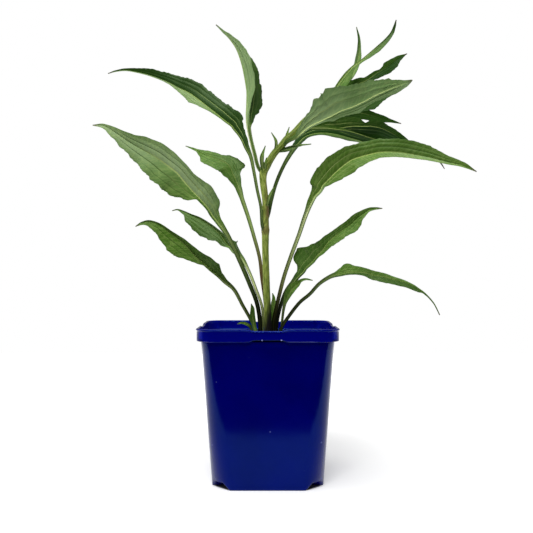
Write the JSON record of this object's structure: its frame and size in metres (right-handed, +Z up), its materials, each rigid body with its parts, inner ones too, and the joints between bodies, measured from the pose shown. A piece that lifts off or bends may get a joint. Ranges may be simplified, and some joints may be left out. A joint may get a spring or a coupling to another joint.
{
  "type": "purple coneflower plant in a square nursery pot",
  "caption": "Leafy young purple coneflower plant, not yet in bloom, with toothed lance-shaped leaves and one leaning shoot, growing in a deep square blue nursery pot.",
  "frame": {"origin": "middle of the pot's underside, on the surface it stands on", "axes": "+Z up along the pot's middle, +X to the right and -Y towards the viewer of the pot's front"},
  "size_m": [0.3013, 0.1313, 0.3815],
  "materials": {
    "leaf": "satin",
    "stem": "satin",
    "soil": "matte",
    "blue_plastic": "gloss"
  },
  "bodies": {
    "root": {"basal_leaf_left_large": "leaf", "basal_leaf_left_low": "leaf", "basal_leaf_left_small": "leaf", "basal_leaf_left_inner": "leaf", "basal_leaf_right_large": "leaf", "basal_leaf_right_mid": "leaf", "basal_leaf_right_low": "leaf", "crown_leaf_lance": "leaf", "crown_leaf_right_small": "leaf", "crown_leaf_curled": "leaf", "crown_leaf_thin_low": "leaf", "stem_leaf_left_long": "leaf", "stem_leaf_upright": "leaf", "stem_leaf_right_back": "leaf", "shoot_leaf_front": "leaf", "shoot_leaf_tip": "leaf", "shoot_leaf_thin": "leaf", "shoot_leaf_back": "leaf", "shoot_leaf_right": "leaf", "shoot_leaf_long": "leaf", "shoot_leaf_low": "leaf", "shoot_leaf_behind": "leaf", "flower_stem": "stem", "potting_soil": "soil", "nursery_pot": "blue_plastic"}
  },
  "joints": []
}
